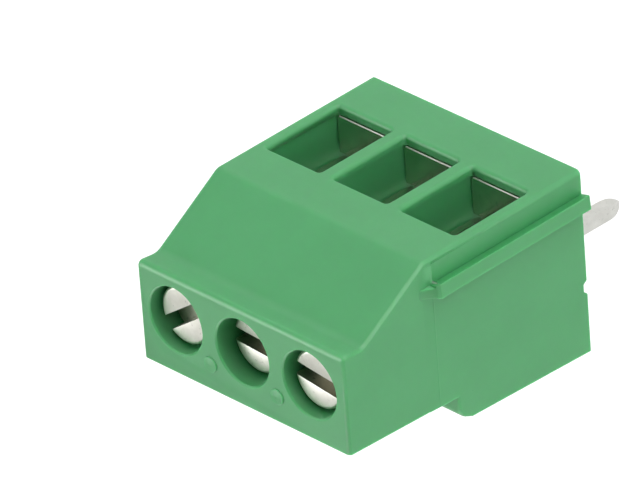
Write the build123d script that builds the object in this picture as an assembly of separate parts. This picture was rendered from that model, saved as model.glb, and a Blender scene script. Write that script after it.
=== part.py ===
from build123d import *
import math
import os

os.makedirs("parts", exist_ok=True)

# A screw terminal block that is soldered upright on a board.
# The frame is the block's own: z = 0 is the board, +Z runs up to the screws,
# the wires enter from -Y, and the origin lies in the middle of the row of pins.
# All sizes are in millimetres.

# The row of poles
pitch = 5.08
poles = 3

# Side outline of the moulded housing
base_depth = 11.35
body_height = 18.1
front_draft_deg = 0.9
rear_draft_deg = 1.83
slope_foot_z = 11.84
collar_height = 1.46
collar_front_y = -2.46
collar_lean = 0.16
step_roof = 0.44
step_depth = 1.61
slope_foot_radius = 0.7
slope_head_radius = 1.0
collar_radius = 0.35
end_edge_radius = 0.3
step_end_radius = 0.5

# Walls and chambers of the housing
partition_wall = 0.68
rib_end_wall = 0.62
plain_end_wall = 0.48
lip_depth = 0.53
lip_side = 0.15
slope_wall = 0.8
ceiling_gap = 0.3
entry_bottom_z = 3.25
entry_height = 5.5
entry_corner_radius = 0.2
entry_rim_radius = 0.27
screw_y = 0.17
head_gap = 0.25
bore_rim_chamfer = 0.08

# Marks and guides on the outside
rib_side_relief = 0.04
plain_side_relief = 0.1
rib_side_step_z = 11.35
plain_side_step_z = 8.77
rib_height = 0.63
rib_from_front = 1.3
rib_width = 0.86
rib_undercut = 0.17
rib_edge_radius = 0.15
lead_in_length = 0.9
lead_in_width = 0.42
dome_y = 1.9
dome_radius = 0.43
dome_height = 0.12
board_groove_y = 1.625
board_groove_width = 0.85
board_groove_depth = 0.25
board_groove_slant = 0.18

# Clamping cage: a strip bent round with its ends lapped under the screw,
# and a tongue on its floor that reaches forward to the wire entry
cage_gap = 0.1
cage_strip = 0.45
cage_length = 5.1
cage_floor_rise = 0.1
cage_top_gap = 0.15
cage_outer_radius = 0.6
cage_inner_radius = 0.2
tongue_corner_radius = 0.1
tongue_relief = 0.3
lap_slit_x = 1.95
lap_slit = 0.12
least_wire = 0.5

# Contact strip: the current bar, its back leg, the run under the cage and the pin
contact_thickness = 0.8
bar_side_gap = 0.15
bar_above_entry = 0.1
bar_front_setback = 0.8
leg_gap = 0.3
contact_bend_radius = 0.3
run_gap = 0.1
run_side_gap = 0.05
pin_width = 0.9
pin_length = 5.4
pin_tip_width = 0.24
pin_tip_length = 1.2
pin_tip_thickness = 0.4
pin_tip_thin_length = 0.7

# Clamping screw, M3 with a slotted head
thread_radius = 1.5
thread_gap = 0.05
screw_tip_gap = 0.05
screw_tip_chamfer = 0.35
head_sink = 1.1
head_radius = 1.75
head_height = 2.0
head_edge_radius = 0.22
slot_width = 0.85
slot_depth = 1.0

# How far each screw stands above its lowest place, and the angle of its slot
screw_heights = [0.45, 0.0, 0.45]
slot_angles_deg = [-6.4, -3.0, 35.0]

# Sizes that follow from those above
row_half = pitch * (poles - 1) / 2
chamber_width = pitch - partition_wall
rib_end_x = -(row_half + chamber_width / 2 + rib_end_wall)
plain_end_x = row_half + chamber_width / 2 + plain_end_wall
body_width = plain_end_x - rib_end_x
pole_xs = [index * pitch - row_half for index in range(poles)]
front_slant = math.tan(math.radians(front_draft_deg))
rear_slant = math.tan(math.radians(rear_draft_deg))

entry_width = chamber_width - 2 * lip_side
entry_top_z = entry_bottom_z + entry_height
entry_mid_z = (entry_bottom_z + entry_top_z) / 2
bar_top_z = entry_top_z + bar_above_entry
leg_pocket_top_z = bar_top_z + run_gap
step_z = leg_pocket_top_z + step_roof
slope_head_z = body_height - collar_height
screw_bore_radius = head_radius + head_gap


def front_y(z):
    """The wire face of the housing at this height, below the slope."""
    return -base_depth / 2 + z * front_slant


def rear_low_y(z):
    """The rear face below the step."""
    return base_depth / 2 - z * rear_slant


def rear_high_y(z):
    """The rear face above the step."""
    return rear_low_y(z) - step_depth


slope_foot_y = front_y(slope_foot_z)
slope_ratio = (collar_front_y - slope_foot_y) / (slope_head_z - slope_foot_z)
slope_wall_in_y = slope_wall * math.hypot(1, slope_ratio)

chamber_front_y = front_y(entry_mid_z) + lip_depth
tongue_front_y = chamber_front_y + cage_gap
cage_front_y = screw_y - cage_length / 2
cage_rear_y = screw_y + cage_length / 2
chamber_rear_y = cage_rear_y + cage_gap
cage_width = chamber_width - 2 * cage_gap
cage_inner_width = cage_width - 2 * cage_strip
cage_floor_z = entry_bottom_z + cage_floor_rise
cage_bottom_z = cage_floor_z - cage_strip
cage_ceiling_z = bar_top_z + cage_top_gap
cage_top_z = cage_ceiling_z + 2 * cage_strip
cage_travel = bar_top_z - contact_thickness - least_wire - cage_floor_z
chamber_ceiling_z = cage_top_z + cage_travel + ceiling_gap

leg_front_y = cage_rear_y + leg_gap
leg_rear_y = leg_front_y + contact_thickness
run_top_z = cage_bottom_z - run_gap
run_bottom_z = run_top_z - contact_thickness
bar_width = cage_inner_width - 2 * bar_side_gap
screw_tip_z = bar_top_z + screw_tip_gap
screw_length = body_height - head_sink - screw_tip_z


def slope_inner_y(z):
    """The inside of the sloping wall at this height."""
    return slope_foot_y + (z - slope_foot_z) * slope_ratio + slope_wall_in_y


def from_side(points):
    """A face in the YZ plane from its (y, z) corners."""
    outline = Polyline(*points, close=True)
    return make_face(outline)


def round_corner(face, across_place, up_place, radius):
    """Round the corner of a flat outline that lies at this place in it."""
    corner = face.vertices().sort_by_distance(Vector(across_place, up_place, 0))[0]
    return fillet(corner, radius)


def across(face, width):
    """Stretch a side outline to this width along X, half on each side."""
    return extrude(Plane.YZ * face, amount=width / 2, both=True)


def between_ends(face):
    """Stretch a side outline from the rib end of the housing to its plain end."""
    return extrude(Plane.YZ.offset(rib_end_x) * face, amount=body_width)


def block(low, high):
    """A rectangular block between two opposite corners."""
    size = [top - bottom for bottom, top in zip(low, high)]
    middle = [(top + bottom) / 2 for bottom, top in zip(low, high)]
    return Pos(*middle) * Box(*size)


# Outside of the housing

def housing_outline():
    """The side outline with its rounded front corners."""
    collar_top_y = collar_front_y - collar_lean
    corners = [
        (front_y(0), 0),
        (slope_foot_y, slope_foot_z),
        (collar_front_y, slope_head_z),
        (collar_top_y, body_height),
        (rear_high_y(body_height), body_height),
        (rear_high_y(step_z), step_z),
        (rear_low_y(step_z), step_z),
        (rear_low_y(0), 0),
    ]
    radii = {
        1: slope_foot_radius,
        2: slope_head_radius,
        3: collar_radius,
    }
    face = from_side(corners)
    for index, radius in radii.items():
        y, z = corners[index]
        face = round_corner(face, y, z, radius)
    return face


def housing_shell():
    """The moulding's outer form, its end edges rounded, before any pocket is cut."""
    solid = between_ends(housing_outline())
    for which in (0, -1):
        end = solid.faces().sort_by(Axis.X)[which]
        in_front = [edge for edge in end.edges() if edge.center().Y < rear_high_y(edge.center().Z) - 0.1]
        rounded = [edge for edge in in_front if edge.center().Z > 0.01]
        solid = fillet(rounded, end_edge_radius)
        end = solid.faces().sort_by(Axis.X)[which]
        step_middle = Vector(end.center().X, rear_high_y(step_z) + step_depth / 2, step_z)
        step_edge = end.edges().sort_by_distance(step_middle)[0]
        solid = fillet(step_edge, step_end_radius)
    return solid


def side_reliefs():
    """The shallow steps on the two ends, above and below their parting lines."""
    far = 2 * body_width
    rib_side = block((-far, -far, rib_side_step_z), (rib_end_x + rib_side_relief, far, 2 * body_height))
    plain_side = block((plain_end_x - plain_side_relief, -far, -far), (far, far, plain_side_step_z))
    return [rib_side, plain_side]


def guide_rib():
    """The dovetail tongue on the -X end, with the ramp that leads a neighbour on to it."""
    root = rib_end_x + rib_end_wall / 2
    outer = rib_end_x - rib_height
    low_y = front_y(0) + rib_from_front
    high_y = low_y + rib_width
    root_low = low_y + rib_undercut
    root_high = high_y - rib_undercut
    outline = Polyline(
        (root, root_low),
        (rib_end_x, root_low),
        (outer, low_y),
        (outer, high_y),
        (rib_end_x, root_high),
        (root, root_high),
        close=True,
    )
    section = round_corner(make_face(outline), outer, low_y, rib_edge_radius)
    section = round_corner(section, outer, high_y, rib_edge_radius)
    lean = Vector(0, front_slant, 1)
    tongue = extrude(section, amount=rib_side_step_z * lean.length, dir=lean)

    # The ramp narrows towards its foot, on the side of the wire face.
    foot_z = rib_side_step_z + lead_in_length
    ramp_low_y = front_y(rib_side_step_z) + rib_from_front
    ramp_high_y = ramp_low_y + rib_width
    wedge_outline = Polyline(
        (root, rib_side_step_z),
        (outer, rib_side_step_z),
        (rib_end_x, foot_z),
        (root, foot_z),
        close=True,
    )
    wedge_plane = Plane.XZ.offset(-ramp_high_y)
    wedge = extrude(wedge_plane * make_face(wedge_outline), amount=rib_width)
    narrowing = from_side([
        (ramp_low_y, rib_side_step_z),
        (ramp_high_y, rib_side_step_z),
        (ramp_high_y, foot_z),
        (ramp_high_y - lead_in_width, foot_z),
    ])
    ramp = wedge & across(narrowing, 3 * body_width)
    return [tongue, ramp]


def marker_domes():
    """The small raised dots between the screws."""
    sphere_radius = (dome_radius**2 + dome_height**2) / (2 * dome_height)
    middle_z = body_height + dome_height - sphere_radius
    domes = []
    for left, right in zip(pole_xs, pole_xs[1:]):
        domes.append(Pos((left + right) / 2, dome_y, middle_z) * Sphere(sphere_radius))
    return domes


def board_groove():
    """The shallow groove that runs along the board face behind the pins."""
    half = board_groove_width / 2
    outline = from_side([
        (board_groove_y - half, 0),
        (board_groove_y - half + board_groove_slant, board_groove_depth),
        (board_groove_y + half - board_groove_slant, board_groove_depth),
        (board_groove_y + half, 0),
    ])
    return across(outline, 2 * body_width)


# Inside of the housing

def chamber():
    """The space of one pole, open at the board face, for its cage and contact."""
    below = -1
    leg_pocket_rear_y = leg_rear_y + cage_gap
    slope_start_z = slope_foot_z + (chamber_front_y - slope_inner_y(slope_foot_z)) / slope_ratio
    outline = from_side([
        (chamber_front_y, below),
        (chamber_front_y, slope_start_z),
        (slope_inner_y(chamber_ceiling_z), chamber_ceiling_z),
        (chamber_rear_y, chamber_ceiling_z),
        (chamber_rear_y, leg_pocket_top_z),
        (leg_pocket_rear_y, leg_pocket_top_z),
        (leg_pocket_rear_y, below),
    ])
    return across(outline, chamber_width)


def wire_entry():
    """The rectangular mouth in the wire face, with slightly rounded corners."""
    mouth = Pos(0, entry_mid_z) * RectangleRounded(entry_width, entry_height, entry_corner_radius)
    inner_y = chamber_front_y + 1
    return extrude(Plane.XZ.offset(-inner_y) * mouth, amount=inner_y - front_y(0) + 1)


def screw_bore():
    """The round hole in the top through which the screw is turned."""
    length = body_height + 1 - (chamber_ceiling_z - 1)
    middle_z = chamber_ceiling_z - 1 + length / 2
    return Pos(0, screw_y, middle_z) * Cylinder(screw_bore_radius, length)


def entry_rims(solid):
    """The outer edges of the wire entries, which the moulding has rounded."""
    rims = []
    for edge in solid.edges():
        middle = edge.center()
        on_face = abs(middle.Y - front_y(middle.Z)) < 0.02
        inside_ends = abs(middle.X) < row_half + chamber_width / 2
        in_height = entry_bottom_z - 0.1 < middle.Z < entry_top_z + 0.1
        if on_face and inside_ends and in_height:
            rims.append(edge)
    return rims


def bore_rims(solid):
    """The upper edges of the screw bores."""
    circles = solid.edges().filter_by(GeomType.CIRCLE)
    rims = []
    for edge in circles:
        same_radius = abs(edge.radius - screw_bore_radius) < 0.001
        if same_radius and abs(edge.center().Z - body_height) < 0.001:
            rims.append(edge)
    return rims


def make_housing():
    """The green moulding: one piece with its guide rib, marks and chambers."""
    solid = housing_shell()
    for relief in side_reliefs():
        solid -= relief
    for piece in guide_rib() + marker_domes():
        solid += piece
    solid -= board_groove()
    for x in pole_xs:
        for pocket in (chamber(), wire_entry(), screw_bore()):
            solid -= Pos(x, 0, 0) * pocket
    solid = fillet(entry_rims(solid), entry_rim_radius)
    solid = chamfer(bore_rims(solid), bore_rim_chamfer)
    return solid


# Metal parts of one pole

def make_cage():
    """The clamping cage: a bent strip that the screw draws up towards the bar."""
    height = cage_top_z - cage_bottom_z
    middle_z = (cage_top_z + cage_bottom_z) / 2
    outside = Pos(0, middle_z) * RectangleRounded(cage_width, height, cage_outer_radius)
    inner_height = cage_ceiling_z - cage_floor_z
    inner_middle_z = (cage_ceiling_z + cage_floor_z) / 2
    inside = Pos(0, inner_middle_z) * RectangleRounded(cage_inner_width, inner_height, cage_inner_radius)
    rear_plane = Plane.XZ.offset(-cage_rear_y)
    solid = extrude(rear_plane * (outside - inside), amount=cage_length)
    solid += floor_tongue()

    # Short notches part the tongue from the bent corners beside it.
    for side in (-1, 1):
        xs = sorted([side * (cage_width / 2 - cage_outer_radius), side * cage_width])
        solid -= block(
            (xs[0], cage_front_y - tongue_relief, cage_bottom_z - 1),
            (xs[1], cage_front_y, cage_floor_z + 1),
        )

    # The outer end of the strip stops short of the far wall.
    slit_x = cage_width / 2 - lap_slit_x
    solid -= block(
        (slit_x, cage_front_y - 1, cage_top_z - cage_strip),
        (slit_x + lap_slit, cage_rear_y + 1, cage_top_z + 1),
    )
    hole_length = 4 * cage_strip
    hole_z = cage_top_z - cage_strip
    solid -= Pos(0, screw_y, hole_z) * Cylinder(thread_radius + thread_gap, hole_length)
    return solid


def floor_tongue():
    """The flat tongue of the cage's floor, with rounded front corners."""
    length = cage_front_y - tongue_front_y
    plan = Pos(0, tongue_front_y + length / 2) * Rectangle(cage_width, length)
    for side in (-1, 1):
        plan = round_corner(plan, side * cage_width / 2, tongue_front_y, tongue_corner_radius)
    return extrude(Plane.XY.offset(cage_bottom_z) * plan, amount=cage_strip)


def contact_path():
    """The middle line of the contact strip, seen from the side."""
    half = contact_thickness / 2
    bar_z = bar_top_z - half
    leg_y = leg_front_y + half
    run_z = run_bottom_z + half
    corners = [
        (0, chamber_front_y + bar_front_setback, bar_z),
        (0, leg_y, bar_z),
        (0, leg_y, run_z),
        (0, 0, run_z),
        (0, 0, -pin_length),
    ]
    return FilletPolyline(*corners, radius=contact_bend_radius + half)


def bullet(half_width, tip_half_width, tip_length):
    """One view of the pin's end: straight flanks that curve in to a blunt tip."""
    top = Line((-half_width, 0), (half_width, 0))
    shoulder = tip_length - pin_length
    right_flank = Line((half_width, 0), (half_width, shoulder))
    right_curve = TangentArc((half_width, shoulder), (tip_half_width, -pin_length), tangent=(0, -1))
    tip = Line((tip_half_width, -pin_length), (-tip_half_width, -pin_length))
    left_curve = TangentArc((-half_width, shoulder), (-tip_half_width, -pin_length), tangent=(0, -1))
    left_flank = Line((-half_width, 0), (-half_width, shoulder))
    return make_face([top, right_flank, right_curve, tip, left_curve, left_flank])


def pin_tip_cut():
    """What the pin loses at its tip: all that lies outside its two views."""
    across_view = bullet(pin_width / 2, pin_tip_width / 2, pin_tip_length)
    side_view = bullet(contact_thickness / 2, pin_tip_thickness / 2, pin_tip_thin_length)
    kept = extrude(Plane.XZ * across_view, amount=pin_width, both=True)
    kept &= extrude(Plane.YZ * side_view, amount=pin_width, both=True)
    around = block(
        (-pin_width, -contact_thickness, -pin_length - 1),
        (pin_width, contact_thickness, pin_tip_length - pin_length),
    )
    return around - kept


def make_contact():
    """The contact strip of one pole, stamped and bent in one piece with its solder pin."""
    run_width = chamber_width - 2 * run_side_gap
    path = contact_path()
    start = path @ 0
    section_plane = Plane(origin=start, x_dir=(1, 0, 0), z_dir=(0, 1, 0))
    strip = sweep(section_plane * Rectangle(run_width, contact_thickness), path=path)

    # The strip narrows where it passes through the cage, and again to the pin.
    shoulder_z = run_top_z + contact_bend_radius
    pin_shoulder_y = contact_thickness / 2 + contact_bend_radius
    for side in (-1, 1):
        bar_edge = side * bar_width / 2
        pin_edge = side * pin_width / 2
        far_edge = side * run_width
        xs = sorted([bar_edge, far_edge])
        strip -= block(
            (xs[0], chamber_front_y, shoulder_z),
            (xs[1], leg_rear_y + 1, bar_top_z + 1),
        )
        xs = sorted([pin_edge, far_edge])
        strip -= block(
            (xs[0], -contact_thickness, -pin_length - 1),
            (xs[1], pin_shoulder_y, run_top_z + 0.5 * run_gap),
        )
    return strip - pin_tip_cut()


def make_screw(lift, slot_angle_deg):
    """One slotted screw, standing this much above its lowest place."""
    top_z = screw_length
    neck_z = screw_length - head_height
    profile = Polyline(
        (0, 0),
        (thread_radius - screw_tip_chamfer, 0),
        (thread_radius, screw_tip_chamfer),
        (thread_radius, neck_z),
        (head_radius, neck_z),
        (head_radius, top_z),
        (0, top_z),
        close=True,
    )
    face = make_face(profile)
    rim = face.vertices().sort_by_distance(Vector(head_radius, top_z, 0))[0]
    face = fillet(rim, head_edge_radius)
    solid = revolve(Plane.XZ * face, axis=Axis.Z)
    slot = Pos(0, 0, top_z - slot_depth / 2) * Box(3 * head_radius, slot_width, slot_depth)
    solid -= Rot(0, 0, slot_angle_deg) * slot
    return Pos(0, screw_y, screw_tip_z + lift) * solid


def main():
    nodes = {"housing": make_housing()}
    for index, x in enumerate(pole_xs):
        place = Pos(x, 0, 0)
        number = index + 1
        lift = screw_heights[index % len(screw_heights)]
        angle = slot_angles_deg[index % len(slot_angles_deg)]
        nodes[f"screw_{number}"] = place * make_screw(lift, angle)
        nodes[f"clamp_cage_{number}"] = place * make_cage()
        nodes[f"contact_{number}"] = place * make_contact()
    for name, solid in nodes.items():
        export_step(solid, f"parts/{name}.step")


main()
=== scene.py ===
import math

import bmesh
import bpy
from mathutils import Matrix, Vector


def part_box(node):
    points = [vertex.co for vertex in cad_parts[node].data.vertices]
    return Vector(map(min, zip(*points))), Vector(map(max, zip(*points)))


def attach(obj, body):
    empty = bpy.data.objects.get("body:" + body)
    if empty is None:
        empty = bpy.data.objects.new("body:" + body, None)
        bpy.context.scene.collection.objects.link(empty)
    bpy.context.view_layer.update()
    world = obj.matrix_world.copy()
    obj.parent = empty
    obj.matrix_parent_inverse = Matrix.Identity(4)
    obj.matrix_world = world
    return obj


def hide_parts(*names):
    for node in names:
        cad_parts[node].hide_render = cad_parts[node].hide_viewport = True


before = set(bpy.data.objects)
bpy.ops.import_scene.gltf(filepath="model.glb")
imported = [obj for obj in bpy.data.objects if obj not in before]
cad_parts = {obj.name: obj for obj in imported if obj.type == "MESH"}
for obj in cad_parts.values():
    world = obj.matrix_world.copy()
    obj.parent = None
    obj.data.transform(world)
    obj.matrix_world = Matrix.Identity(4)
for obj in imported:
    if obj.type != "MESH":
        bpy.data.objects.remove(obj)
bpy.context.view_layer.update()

MM = 0.001
ALONG_X = 0
ALONG_Y = 1
ALONG_Z = 2

# The camera of the photograph, in the row frame. The block lies on its rear face there,
# so the picture's up is close to the row's -Y.
CAMERA_PLACE = Vector((-363.0, -302.06, 344.66)) * MM
CAMERA_RIGHT = Vector((-0.7026, 0.0644, -0.7087))
CAMERA_UP = Vector((0.3298, -0.853, -0.4045))
SENSOR_WIDTH = 36.0
FOCAL_PIXELS = 10823.6
IMAGE_WIDTH = 640

# Screws, as the CAD model has them
THREAD_RADIUS = 1.5 * MM
THREAD_PITCH = 0.5 * MM
THREAD_DEPTH = 0.27 * MM
HEAD_RADIUS = 1.75 * MM
HEAD_HEIGHT = 2.0 * MM
HEAD_EDGE = 0.22 * MM
TIP_CHAMFER = 0.35 * MM
SLOT_WIDTH = 0.85 * MM
SLOT_DEPTH = 1.0 * MM
SLOT_ANGLES_DEG = {"screw_1": -6.4, "screw_2": -3.0, "screw_3": 35.0}

# The housing, in millimetres, as the CAD model has it. The rib is on its -X end.
POLE_SPACING = 5.08
FACE_Z = 18.1
FRONT_SLANT = 0.01571
RIB_END_X = -7.90
PLAIN_END_X = 7.76
RIB_OUTER_X = -8.53
RIB_FOOT_Y = -4.375
RIB_WIDTH = 0.86
RIB_UNDERCUT = 0.17
RIB_TOP_Z = 11.35
RAMP_LENGTH = 0.9
DOME_Y = 1.9

# Small forms of the housing that only the scene makes, in millimetres
PLAIN_END_OUT = 0.10
RIB_LEAN = 0.08
SHOULDER_Z = 10.0
SHOULDER_RADIUS = 0.9
BUTTON_RADIUS = 0.47
BUTTON_HEIGHT = 0.09
FINE_EDGE = 0.04

# The bright edge of a cage's tongue, in millimetres
TONGUE_FRONT_Y = -4.96
TONGUE_TOP_Z = 3.33
TONGUE_HALF_WIDTH = 1.95
TONGUE_EDGE_RADIUS = 0.045

WHITE = (1, 1, 1, 1)
FLOOR_Z = -30 * MM
FLOOR_HALF_WIDTH = 3.0
FLOOR_GLOW = 0.8
FLOOR_WHITE = 1.3

# The studio's softboxes, as seen from the block: where each is, the angles from its middle
# at which it starts to fade and is gone, and how bright it is. Between them it is nearly dark.
SOFTBOXES = {
    "overhead": ((-0.28, -0.88, -0.40), (24, 45), 5.6),
    "overhead right": ((-0.55, -0.80, 0.20), (15, 30), 2.1),
    "overhead left": ((0.25, -0.95, 0.05), (15, 30), 1.1),
    "right": ((-0.97, -0.23, -0.12), (10, 19), 7.8),
    "right wide": ((-0.93, -0.10, -0.30), (18, 36), 4.7),
    "left": ((0.64, -0.07, 0.76), (16, 29), 4.7),
    "low front": ((-0.55, 0.55, 0.62), (14, 28), 0.8),
    "table": ((0.02, 1.0, -0.07), (22, 40), 2.2),
    "table front": ((0.10, 0.80, 0.60), (24, 45), 0.8),
}
STUDIO_WALLS = 0.03


# Materials

def new_material(name):
    """A material with an empty node tree and its output and shader."""
    material = bpy.data.materials.new(name)
    material.use_nodes = True
    tree = material.node_tree
    tree.nodes.clear()
    output = tree.nodes.new("ShaderNodeOutputMaterial")
    shader = tree.nodes.new("ShaderNodeBsdfPrincipled")
    tree.links.new(shader.outputs["BSDF"], output.inputs["Surface"])
    return material, tree, shader


def object_coordinates(tree):
    """Places on the object, which move with it."""
    return tree.nodes.new("ShaderNodeTexCoord").outputs["Object"]


def noise(tree, coordinates, per_mm, detail=3.0, roughness=0.5):
    """Noise with this many features in a millimetre."""
    node = tree.nodes.new("ShaderNodeTexNoise")
    node.inputs["Scale"].default_value = per_mm / MM
    node.inputs["Detail"].default_value = detail
    node.inputs["Roughness"].default_value = roughness
    tree.links.new(coordinates, node.inputs["Vector"])
    return node.outputs["Fac"]


def between(tree, factor, low, high, from_low=0.0, from_high=1.0):
    """A factor spread from one range on to another."""
    node = tree.nodes.new("ShaderNodeMapRange")
    node.inputs["From Min"].default_value = from_low
    node.inputs["From Max"].default_value = from_high
    node.inputs["To Min"].default_value = low
    node.inputs["To Max"].default_value = high
    tree.links.new(factor, node.inputs["Value"])
    return node.outputs["Result"]


def mixed(tree, factor, first, second):
    """Two colours mixed by a factor. Either may be a fixed colour or a socket."""
    node = tree.nodes.new("ShaderNodeMix")
    node.data_type = "RGBA"
    tree.links.new(factor, node.inputs["Factor"])
    for name, value in (("A", first), ("B", second)):
        sockets = [s for s in node.inputs if s.name == name and s.type == "RGBA"]
        if isinstance(value, tuple):
            sockets[0].default_value = (*value, 1.0)
        else:
            tree.links.new(value, sockets[0])
    return [s for s in node.outputs if s.type == "RGBA"][0]


def bump(tree, height, strength, distance):
    """A surface direction that follows this height."""
    node = tree.nodes.new("ShaderNodeBump")
    node.inputs["Strength"].default_value = strength
    node.inputs["Distance"].default_value = distance
    tree.links.new(height, node.inputs["Height"])
    return node.outputs["Normal"]


def green_plastic():
    """Satin moulded polyamide: nearly even green, with faint flow clouds and a fine skin."""
    material, tree, shader = new_material("green_polyamide")
    place = object_coordinates(tree)
    clouds = between(tree, noise(tree, place, 0.35), 0.0, 1.0, 0.35, 0.65)
    colour = mixed(tree, clouds, (0.042, 0.318, 0.100), (0.047, 0.336, 0.107))
    tree.links.new(colour, shader.inputs["Base Color"])
    grain = noise(tree, place, 14.0, detail=4.0)
    rough = between(tree, noise(tree, place, 2.5), 0.47, 0.55)
    tree.links.new(rough, shader.inputs["Roughness"])
    tree.links.new(bump(tree, grain, 0.18, 0.004 * MM), shader.inputs["Normal"])
    shader.inputs["IOR"].default_value = 1.57
    shader.inputs["Specular IOR Level"].default_value = 1.0

    # Light goes a little way into the plastic, the green part of it furthest.
    shader.inputs["Subsurface Weight"].default_value = 0.7
    shader.inputs["Subsurface Scale"].default_value = 0.7 * MM
    shader.inputs["Subsurface Radius"].default_value = (0.35, 1.0, 0.5)
    return material


def plated_metal(name, light, dark, rough_low, rough_high):
    """Dull plated metal: cloudy grey with a fine grain, and small dark stains here and there."""
    material, tree, shader = new_material(name)
    place = object_coordinates(tree)
    clouds = between(tree, noise(tree, place, 1.4, detail=5.0), 0.0, 1.0, 0.3, 0.7)
    stains = between(tree, noise(tree, place, 3.2, detail=8.0, roughness=0.65), 0.0, 0.75, 0.60, 0.74)
    stained = tuple(0.35 * part for part in dark)
    colour = mixed(tree, stains, mixed(tree, clouds, light, dark), stained)
    tree.links.new(colour, shader.inputs["Base Color"])
    rough = between(tree, noise(tree, place, 5.0), rough_low, rough_high)
    tree.links.new(rough, shader.inputs["Roughness"])
    tree.links.new(bump(tree, noise(tree, place, 9.0, detail=5.0), 0.3, 0.01 * MM), shader.inputs["Normal"])
    shader.inputs["Metallic"].default_value = 1.0
    return material


# Pieces

def make_screw(name):
    """A slotted screw with a real thread, standing where its CAD node stands."""
    low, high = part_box(name)
    centre_x = (low.x + high.x) / 2
    centre_y = (low.y + high.y) / 2
    bottom = low.z
    neck = high.z - HEAD_HEIGHT
    mesh = bmesh.new()

    # The threaded shank, one ring of the helix after another
    length = neck - bottom
    steps_per_ring = 48
    steps_per_pitch = 10
    rows = int(length / THREAD_PITCH * steps_per_pitch)
    rings = []
    for row in range(rows + 1):
        z = bottom + length * row / rows
        ring = []
        for step in range(steps_per_ring):
            angle = 2 * math.pi * step / steps_per_ring
            phase = ((z - bottom) / THREAD_PITCH - angle / (2 * math.pi)) % 1.0
            groove = 1 - abs(2 * phase - 1)
            radius = THREAD_RADIUS - THREAD_DEPTH * groove
            limit = THREAD_RADIUS - max(0.0, TIP_CHAMFER - (z - bottom))
            radius = min(radius, limit)
            ring.append(mesh.verts.new((radius * math.cos(angle), radius * math.sin(angle), z)))
        rings.append(ring)
    close_rings(mesh, rings)
    shank = mesh_object(name + "_shank", mesh)

    # The head, turned and then slotted
    mesh = bmesh.new()
    profile = [(0.0, neck), (HEAD_RADIUS, neck)]
    corner_steps = 6
    for step in range(corner_steps + 1):
        angle = math.pi / 2 * step / corner_steps
        radius = HEAD_RADIUS - HEAD_EDGE * (1 - math.cos(angle))
        z = high.z - HEAD_EDGE * (1 - math.sin(angle))
        profile.append((radius, z))
    profile.append((0.0, high.z))
    vertices = [mesh.verts.new((radius, 0, z)) for radius, z in profile]
    edges = [mesh.edges.new(pair) for pair in zip(vertices, vertices[1:])]
    bmesh.ops.spin(
        mesh, geom=vertices + edges, cent=(0, 0, 0), axis=(0, 0, 1), angle=2 * math.pi, steps=96
    )
    bmesh.ops.remove_doubles(mesh, verts=mesh.verts, dist=1e-7)
    bmesh.ops.recalc_face_normals(mesh, faces=mesh.faces)
    head = mesh_object(name + "_head", mesh)

    cutter_mesh = bmesh.new()
    bmesh.ops.create_cube(cutter_mesh, size=1.0)
    angle = math.radians(SLOT_ANGLES_DEG[name])
    size = Matrix.Diagonal((4 * HEAD_RADIUS, SLOT_WIDTH, 2 * SLOT_DEPTH, 1.0))
    place = Matrix.Translation((0, 0, high.z)) @ Matrix.Rotation(angle, 4, "Z") @ size
    bmesh.ops.transform(cutter_mesh, matrix=place, verts=cutter_mesh.verts)
    cutter = mesh_object(name + "_cutter", cutter_mesh)
    apply_boolean(head, cutter, "DIFFERENCE")
    add_bevel(head, FINE_EDGE * MM)

    for piece in (shank, head):
        piece.data.transform(Matrix.Translation((centre_x, centre_y, 0)))
    return shank, head


def close_rings(mesh, rings):
    """Make faces from each ring of corners to the next, and one over each end."""
    for lower, upper in zip(rings, rings[1:]):
        for step in range(len(lower)):
            after = (step + 1) % len(lower)
            mesh.faces.new((lower[step], lower[after], upper[after], upper[step]))
    mesh.faces.new(rings[0])
    mesh.faces.new(rings[-1])
    bmesh.ops.recalc_face_normals(mesh, faces=mesh.faces)


def mesh_object(name, mesh):
    """Turn a drawn mesh into an object of this name."""
    data = bpy.data.meshes.new(name)
    mesh.to_mesh(data)
    mesh.free()
    piece = bpy.data.objects.new(name, data)
    bpy.context.scene.collection.objects.link(piece)
    return piece


def apply_boolean(target, other, operation):
    """Add another solid to the target, or take it away from it. The other solid is used up."""
    modifier = target.modifiers.new("boolean", "BOOLEAN")
    modifier.operation = operation
    modifier.solver = "EXACT"
    modifier.object = other
    bake_modifiers(target)
    bpy.data.objects.remove(other)


def add_bevel(target, width):
    """Round an object's sharp edges."""
    modifier = target.modifiers.new("edges", "BEVEL")
    modifier.width = width
    modifier.segments = 3
    modifier.limit_method = "ANGLE"
    modifier.angle_limit = math.radians(40)
    bake_modifiers(target)


def bake_modifiers(target):
    """Replace an object's mesh by what its modifiers make of it."""
    view = bpy.context.evaluated_depsgraph_get()
    view.update()
    result = bpy.data.meshes.new_from_object(target.evaluated_get(view))
    old = target.data
    target.modifiers.clear()
    target.data = result
    bpy.data.meshes.remove(old)


def shade(piece, angle_deg=35):
    """Smooth faces that meet at less than this angle."""
    for polygon in piece.data.polygons:
        polygon.use_smooth = True
    piece.data.set_sharp_from_angle(angle=math.radians(angle_deg))


def paint_slot_shade(head, name):
    """The walls and the floor of a screw's slot get a darker metal than its face: painted shade in the
    recess.
    """
    head.data.materials.append(slot_metal)
    low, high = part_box(name)
    top_middle = Vector(((low.x + high.x) / 2, (low.y + high.y) / 2, high.z))
    angle = math.radians(SLOT_ANGLES_DEG[name])
    slack = 0.02 * MM
    rounding = 0.06 * MM
    for polygon in head.data.polygons:
        spot = polygon.center - top_middle
        across = abs(spot.y * math.cos(angle) - spot.x * math.sin(angle))
        between_walls = across < SLOT_WIDTH / 2 + slack
        below_face = -SLOT_DEPTH - slack < spot.z < -rounding
        if between_walls and below_face:
            # These faces take the darker metal, painted shade for the slot.
            polygon.material_index = 1


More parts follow.
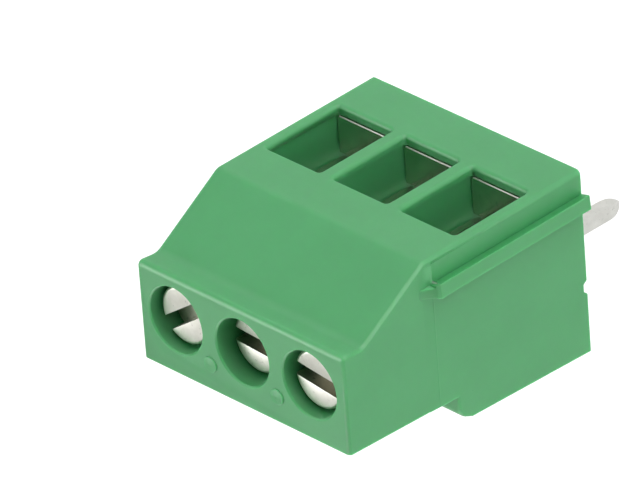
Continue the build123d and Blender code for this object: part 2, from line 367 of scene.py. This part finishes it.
def paint(piece, material):
    """Give an object this material alone."""
    piece.data.materials.clear()
    piece.data.materials.append(material)


def prism(name, outline, low, high, along, lean=0.0):
    """A closed solid: an outline in two coordinates, drawn out along the third from low to high.

    With a lean, the outline's second coordinate grows by that much for each millimetre along."""
    mesh = bmesh.new()
    rings = []
    for level in (low, high):
        ring = []
        for first, second in outline:
            place = [first, second + lean * level]
            place.insert(along, level)
            ring.append(mesh.verts.new(Vector(place) * MM))
        rings.append(ring)
    close_rings(mesh, rings)
    return mesh_object(name, mesh)


def oval(middle, radii, steps):
    """The corners of a circle or an oval, as an outline."""
    corners = []
    for step in range(steps):
        angle = 2 * math.pi * step / steps
        corners.append((middle[0] + radii[0] * math.cos(angle), middle[1] + radii[1] * math.sin(angle)))
    return corners


def rib_face():
    """The rib's outer face, which leans a little towards the wire face and has crisp edges."""
    low = RIB_FOOT_Y
    high = RIB_FOOT_Y + RIB_WIDTH
    inner_x = -8.35
    taper = 0.05
    outline = (
        (inner_x, low + taper),
        (RIB_OUTER_X, low),
        (RIB_OUTER_X - RIB_LEAN, high),
        (inner_x, high - taper),
    )
    solid = prism("rib_face", outline, 0.0, RIB_TOP_Z, ALONG_Z, lean=FRONT_SLANT)
    add_bevel(solid, FINE_EDGE * MM)
    return solid


def rib_ramp():
    """The rib's end: a short full width run-out, and the narrower ramp that leads a neighbour on."""
    low = RIB_FOOT_Y + FRONT_SLANT * RIB_TOP_Z
    high = low + RIB_WIDTH
    root_x = RIB_END_X + 0.1
    slide = (RIB_END_X - RIB_OUTER_X) / RAMP_LENGTH
    run_out = 0.2
    overlap = 0.05
    mesh = bmesh.new()
    rings = []
    for z, outer in (
        (RIB_TOP_Z - overlap, RIB_OUTER_X),
        (RIB_TOP_Z, RIB_OUTER_X),
        (RIB_TOP_Z + run_out, RIB_OUTER_X + slide * run_out),
    ):
        share = (RIB_END_X - outer) / (RIB_END_X - RIB_OUTER_X)
        lean = RIB_UNDERCUT * (1 - share)
        corners = (
            (root_x, low + RIB_UNDERCUT),
            (RIB_END_X, low + RIB_UNDERCUT),
            (outer, low + lean),
            (outer - RIB_LEAN, high - lean),
            (RIB_END_X, high - RIB_UNDERCUT),
            (root_x, high - RIB_UNDERCUT),
        )
        rings.append([mesh.verts.new(Vector((x, y, z)) * MM) for x, y in corners])
    close_rings(mesh, rings)
    wide = mesh_object("run_out", mesh)

    narrow_by = (0.22, 0.08)
    ramp_outer_x = RIB_OUTER_X + slide * overlap
    ramp_end_z = RIB_TOP_Z + RAMP_LENGTH + 0.057
    outline = (
        (root_x, RIB_TOP_Z - overlap),
        (ramp_outer_x, RIB_TOP_Z - overlap),
        (ramp_outer_x, RIB_TOP_Z + overlap),
        (RIB_END_X + 0.04, ramp_end_z),
        (root_x, ramp_end_z),
    )
    narrow = prism("ramp", outline, low + narrow_by[0], high - narrow_by[1], ALONG_Y)
    add_bevel(narrow, FINE_EDGE * MM)
    return wide, narrow


def rear_shoulder():
    """The shoulder behind the collar, rounded over to the rear face and at both ends."""
    inner_y = 3.5
    rear_y = 5.387
    foot_z = 9.0
    round_y = 4.457
    outline = [(rear_y, foot_z), (inner_y, foot_z), (inner_y, SHOULDER_Z)]
    steps = 10
    for step in range(steps + 1):
        angle = math.pi / 2 * (1 - step / steps)
        y = round_y + SHOULDER_RADIUS * math.cos(angle)
        z = SHOULDER_Z - SHOULDER_RADIUS * (1 - math.sin(angle))
        outline.append((y, z))
    proud = 0.002
    rib_end = RIB_END_X - proud
    plain_end = PLAIN_END_X + PLAIN_END_OUT + proud
    solid = prism("shoulder", outline, rib_end, plain_end, ALONG_X)
    mesh = bmesh.new()
    mesh.from_mesh(solid.data)
    end_rounding = 0.18
    ends = []
    for edge in mesh.edges:
        first, second = (vertex.co / MM for vertex in edge.verts)
        at_end = abs(first.x - second.x) < 0.01
        on_round = min(first.z, second.z) > foot_z + 0.05 and max(first.y, second.y) > inner_y + 0.1
        if at_end and on_round:
            ends.append(edge)
    bmesh.ops.bevel(mesh, geom=ends, offset=end_rounding * MM, segments=4, profile=0.5, affect="EDGES")
    mesh.to_mesh(solid.data)
    mesh.free()

    # The lower step of the CAD model is rounded at its ends, and the shoulder fills those corners.
    solids = [solid]
    filler = ((3.9, 8.78), (3.9, 9.1), (5.384, 9.1), (5.3945, 8.78))
    rounded_from_x = 7.35
    for name, low, high in (("rib", rib_end, -rounded_from_x), ("plain", rounded_from_x, plain_end)):
        solids.append(prism(name + "_corner", filler, low, high, ALONG_X))
    return solids


def marker_buttons():
    """The low buttons between the screws: a flat rim round the CAD model's dome."""
    solids = []
    for middle in (-POLE_SPACING / 2, POLE_SPACING / 2):
        outline = oval((middle, DOME_Y), (BUTTON_RADIUS, BUTTON_RADIUS), 32)
        button = prism("button", outline, FACE_Z - 0.1, FACE_Z + BUTTON_HEIGHT, ALONG_Z)
        add_bevel(button, 0.05 * MM)
        solids.append(button)
    return solids


def parting_line():
    """The side step runs out softly, and below the rib a fine raised line marks it."""
    inner_x = -7.80
    step_x = -7.8995
    ease_end_x = -7.859
    ease_foot_z = 11.25
    ease_start_z = 11.36
    ease_end_z = 12.1
    outline = (
        (inner_x, ease_foot_z),
        (step_x, ease_foot_z),
        (step_x, ease_start_z),
        (ease_end_x, ease_end_z),
        (inner_x, ease_end_z),
    )
    wire_face_y = -5.14
    rib_flank_y = -3.3
    rear_y = 3.70
    ease = prism("ease", outline, wire_face_y, rear_y, ALONG_Y)
    outline = oval((-7.885, RIB_TOP_Z), (0.035, 0.055), 10)
    line = prism("line", outline, rib_flank_y, rear_y - 0.02, ALONG_Y)
    return ease, line


def detailed_housing(node):
    """A copy of the housing with the small forms that were read from the photograph last."""
    mesh = bmesh.new()
    mesh.from_mesh(node.data)
    bmesh.ops.remove_doubles(mesh, verts=mesh.verts, dist=1e-7)
    plain_end_from_x = 7.44
    for vertex in mesh.verts:
        if vertex.co.x > plain_end_from_x * MM:
            vertex.co.x += PLAIN_END_OUT * MM
    housing = mesh_object("moulded_housing", mesh)

    # The wide ramp of the CAD model goes, down to the face behind it.
    side_x = RIB_END_X + 0.0395
    past_rib_x = -9
    past_ramp_z = 13
    outline = (
        (past_rib_x, RIB_TOP_Z),
        (side_x, RIB_TOP_Z),
        (side_x, past_ramp_z),
        (past_rib_x, past_ramp_z),
    )
    old_ramp = prism("old_ramp", outline, RIB_FOOT_Y - 0.225, RIB_FOOT_Y + 1.375, ALONG_Y)
    apply_boolean(housing, old_ramp, "DIFFERENCE")
    for solid in (rib_face(), *rib_ramp(), *rear_shoulder(), *marker_buttons(), *parting_line()):
        apply_boolean(housing, solid, "UNION")

    # Faces that lie in one plane become one face again.
    mesh = bmesh.new()
    mesh.from_mesh(housing.data)
    bmesh.ops.dissolve_limit(mesh, angle_limit=math.radians(0.3), verts=mesh.verts, edges=mesh.edges)
    mesh.to_mesh(housing.data)
    mesh.free()
    return housing


def tongue_edge(name):
    """The bright sheared edge along the front of a cage's tongue."""
    low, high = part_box(name)
    middle = (low.x + high.x) / 2 / MM
    radii = (TONGUE_EDGE_RADIUS, TONGUE_EDGE_RADIUS)
    outline = oval((TONGUE_FRONT_Y, TONGUE_TOP_Z), radii, 10)
    left = middle - TONGUE_HALF_WIDTH
    right = middle + TONGUE_HALF_WIDTH
    return prism(name + "_edge", outline, left, right, ALONG_X)


def even_flats(piece):
    """Flat faces keep their own direction, and the roundings blend into them."""
    modifier = piece.modifiers.new("flats", "WEIGHTED_NORMAL")
    modifier.mode = "FACE_AREA"
    modifier.weight = 90
    modifier.keep_sharp = True
    bake_modifiers(piece)


# Dress the block

plastic = green_plastic()
screw_metal = plated_metal("zinc_plate", (0.85, 0.84, 0.77), (0.74, 0.73, 0.65), 0.30, 0.42)
# A darker metal for the slots' walls and floors: painted shade in the recess.
slot_metal = plated_metal("slot_metal", (0.64, 0.62, 0.53), (0.50, 0.48, 0.40), 0.32, 0.45)
cage_metal = plated_metal("nickel_plate", (0.74, 0.72, 0.65), (0.64, 0.62, 0.55), 0.18, 0.28)
edge_metal = plated_metal("sheared_edge", (0.86, 0.86, 0.82), (0.76, 0.76, 0.70), 0.45, 0.55)
pin_metal = plated_metal("tin_plate", (0.86, 0.86, 0.81), (0.74, 0.74, 0.69), 0.28, 0.38)

for name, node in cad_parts.items():
    if name.startswith("screw_"):
        shank, head = make_screw(name)
        for piece in (shank, head):
            shade(piece)
            paint(piece, screw_metal)
            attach(piece, name)
        # The slot's walls and floor get painted shade.
        paint_slot_shade(head, name)
        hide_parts(name)
    elif name.startswith("clamp_cage_"):
        paint(node, cage_metal)
        edge = tongue_edge(name)
        shade(edge, 60)
        paint(edge, edge_metal)
        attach(edge, name.replace("clamp_", ""))
    elif name.startswith("contact_"):
        paint(node, pin_metal)
    else:
        housing = detailed_housing(node)
        shade(housing, 30)
        even_flats(housing)
        paint(housing, plastic)
        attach(housing, "block")
        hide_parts(name)


# Floor and light

def make_floor():
    """A white floor. The camera and reflections see it glow, and the block's shadow stays on it."""
    mesh = bmesh.new()
    corners = []
    for side_x, side_y in ((-1, -1), (1, -1), (1, 1), (-1, 1)):
        corners.append(mesh.verts.new((side_x * FLOOR_HALF_WIDTH, side_y * FLOOR_HALF_WIDTH, FLOOR_Z)))
    mesh.faces.new(corners)
    floor = mesh_object("floor", mesh)
    material = bpy.data.materials.new("white_floor")
    material.use_nodes = True
    tree = material.node_tree
    tree.nodes.clear()
    output = tree.nodes.new("ShaderNodeOutputMaterial")
    lit = tree.nodes.new("ShaderNodeBsdfDiffuse")
    lit.inputs["Color"].default_value = (0.9, 0.9, 0.9, 1)
    plain = tree.nodes.new("ShaderNodeEmission")
    plain.inputs["Color"].default_value = WHITE
    seen = tree.nodes.new("ShaderNodeLightPath")
    glow = between(tree, seen.outputs["Is Camera Ray"], FLOOR_GLOW, FLOOR_WHITE)
    tree.links.new(glow, plain.inputs["Strength"])
    either = added(tree, seen.outputs["Is Camera Ray"], seen.outputs["Is Glossy Ray"])
    share = between(tree, either, 0.0, 0.7)
    mix = tree.nodes.new("ShaderNodeMixShader")
    tree.links.new(share, mix.inputs["Fac"])
    tree.links.new(lit.outputs["BSDF"], mix.inputs[1])
    tree.links.new(plain.outputs["Emission"], mix.inputs[2])
    tree.links.new(mix.outputs["Shader"], output.inputs["Surface"])
    paint(floor, material)


def added(tree, first, second):
    """The sum of two values."""
    node = tree.nodes.new("ShaderNodeMath")
    tree.links.new(first, node.inputs[0])
    tree.links.new(second, node.inputs[1])
    return node.outputs["Value"]


def smooth_rise(tree, value, start, end, low, high):
    """A value that goes smoothly from low at the start to high at the end."""
    node = tree.nodes.new("ShaderNodeMapRange")
    node.interpolation_type = "SMOOTHSTEP"
    node.inputs["From Min"].default_value = start
    node.inputs["From Max"].default_value = end
    node.inputs["To Min"].default_value = low
    node.inputs["To Max"].default_value = high
    tree.links.new(value, node.inputs["Value"])
    return node.outputs["Result"]


def softbox(tree, sight, direction, edges_deg, brightness):
    """A round patch of light that fades between these angles from its middle."""
    along = tree.nodes.new("ShaderNodeVectorMath")
    along.operation = "DOT_PRODUCT"
    tree.links.new(sight, along.inputs[0])
    along.inputs[1].default_value = Vector(direction).normalized()
    inner, outer = (math.cos(math.radians(angle)) for angle in edges_deg)
    return smooth_rise(tree, along.outputs["Value"], outer, inner, 0.0, brightness)


def studio_strength(tree):
    """How bright the studio is in each direction."""
    sight = tree.nodes.new("ShaderNodeTexCoord").outputs["Generated"]
    walls = tree.nodes.new("ShaderNodeValue")
    walls.outputs[0].default_value = STUDIO_WALLS
    total = walls.outputs[0]
    for direction, edges_deg, brightness in SOFTBOXES.values():
        total = added(tree, total, softbox(tree, sight, direction, edges_deg, brightness))
    return total


def make_world():
    """The softboxes light the block, and the camera sees plain white behind it."""
    world = bpy.data.worlds.new("studio")
    bpy.context.scene.world = world
    world.use_nodes = True
    tree = world.node_tree
    tree.nodes.clear()
    output = tree.nodes.new("ShaderNodeOutputWorld")
    light = tree.nodes.new("ShaderNodeBackground")
    light.inputs["Color"].default_value = WHITE
    tree.links.new(studio_strength(tree), light.inputs["Strength"])
    backdrop = tree.nodes.new("ShaderNodeBackground")
    backdrop.inputs["Color"].default_value = WHITE
    backdrop.inputs["Strength"].default_value = 1.0
    seen = tree.nodes.new("ShaderNodeLightPath")
    mix = tree.nodes.new("ShaderNodeMixShader")
    tree.links.new(seen.outputs["Is Camera Ray"], mix.inputs["Fac"])
    tree.links.new(light.outputs["Background"], mix.inputs[1])
    tree.links.new(backdrop.outputs["Background"], mix.inputs[2])
    tree.links.new(mix.outputs["Shader"], output.inputs["Surface"])


def make_camera():
    """A camera with the photograph's view."""
    data = bpy.data.cameras.new("camera")
    data.sensor_fit = "HORIZONTAL"
    data.sensor_width = SENSOR_WIDTH
    data.lens = FOCAL_PIXELS / IMAGE_WIDTH * SENSOR_WIDTH
    data.clip_start = 10 * MM
    data.clip_end = 10.0
    camera = bpy.data.objects.new("camera", data)
    bpy.context.scene.collection.objects.link(camera)
    back = CAMERA_RIGHT.cross(CAMERA_UP)
    axes = Matrix((CAMERA_RIGHT, CAMERA_UP, back)).transposed()
    camera.matrix_world = Matrix.Translation(CAMERA_PLACE) @ axes.to_4x4()
    bpy.context.scene.camera = camera


make_floor()
make_world()
make_camera()
bpy.context.scene.view_settings.view_transform = "Standard"
